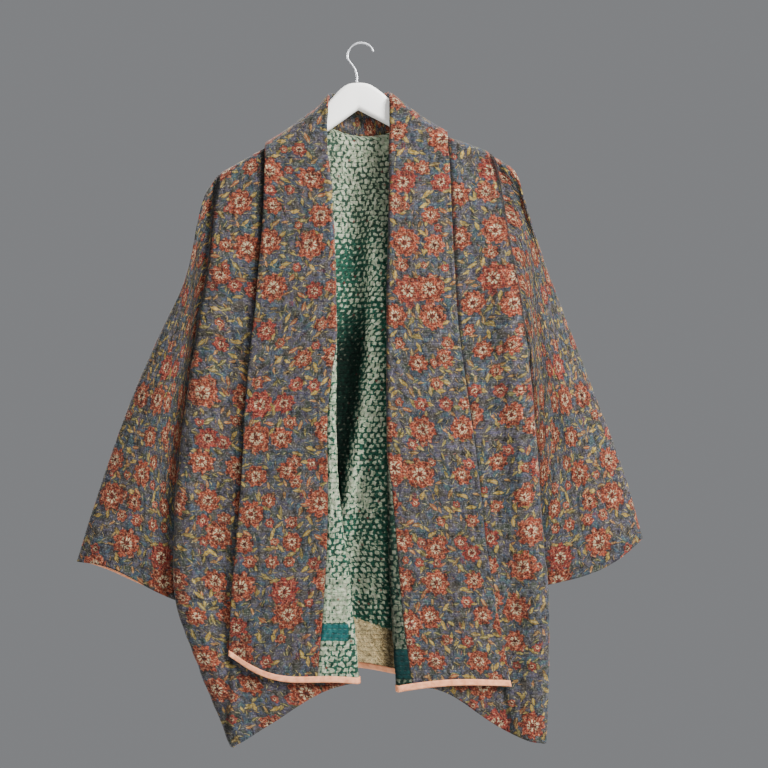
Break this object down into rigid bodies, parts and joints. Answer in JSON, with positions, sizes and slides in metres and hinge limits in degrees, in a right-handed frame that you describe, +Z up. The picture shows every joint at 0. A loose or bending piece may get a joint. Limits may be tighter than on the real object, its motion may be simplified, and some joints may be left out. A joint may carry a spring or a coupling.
{
  "type": "quilted kantha jacket on a hanger",
  "caption": "Loose quilted jacket with wide sleeves and a rolled-back shawl collar, hung open on a plain hanger by its hook.",
  "frame": {"origin": "inside top of the hanger's hook, where it bears on a peg or rail", "axes": "+Z up, -Y out of the front of the jacket, +X to the wearer's left"},
  "size_m": [0.8525, 0.0889, 1.0487],
  "materials": {
    "quilted_cloth": "soft printed cotton, quilted in running stitch, matt",
    "hem_facing": "plain peach cotton",
    "hanger_paint": "off-white paint, satin",
    "hook_steel": "bright bent wire"
  },
  "bodies": {
    "root": {"back": "quilted_cloth", "front_right": "quilted_cloth", "front_left": "quilted_cloth", "collar_right": "quilted_cloth", "collar_left": "quilted_cloth", "collar_neck": "quilted_cloth", "sleeve_right": "quilted_cloth", "sleeve_left": "quilted_cloth", "facing_front_right": "hem_facing", "facing_front_left": "hem_facing", "facing_back": "hem_facing", "facing_cuff_right": "hem_facing", "facing_cuff_left": "hem_facing", "hanger_body": "hanger_paint", "hanger_hook": "hook_steel"}
  },
  "joints": []
}
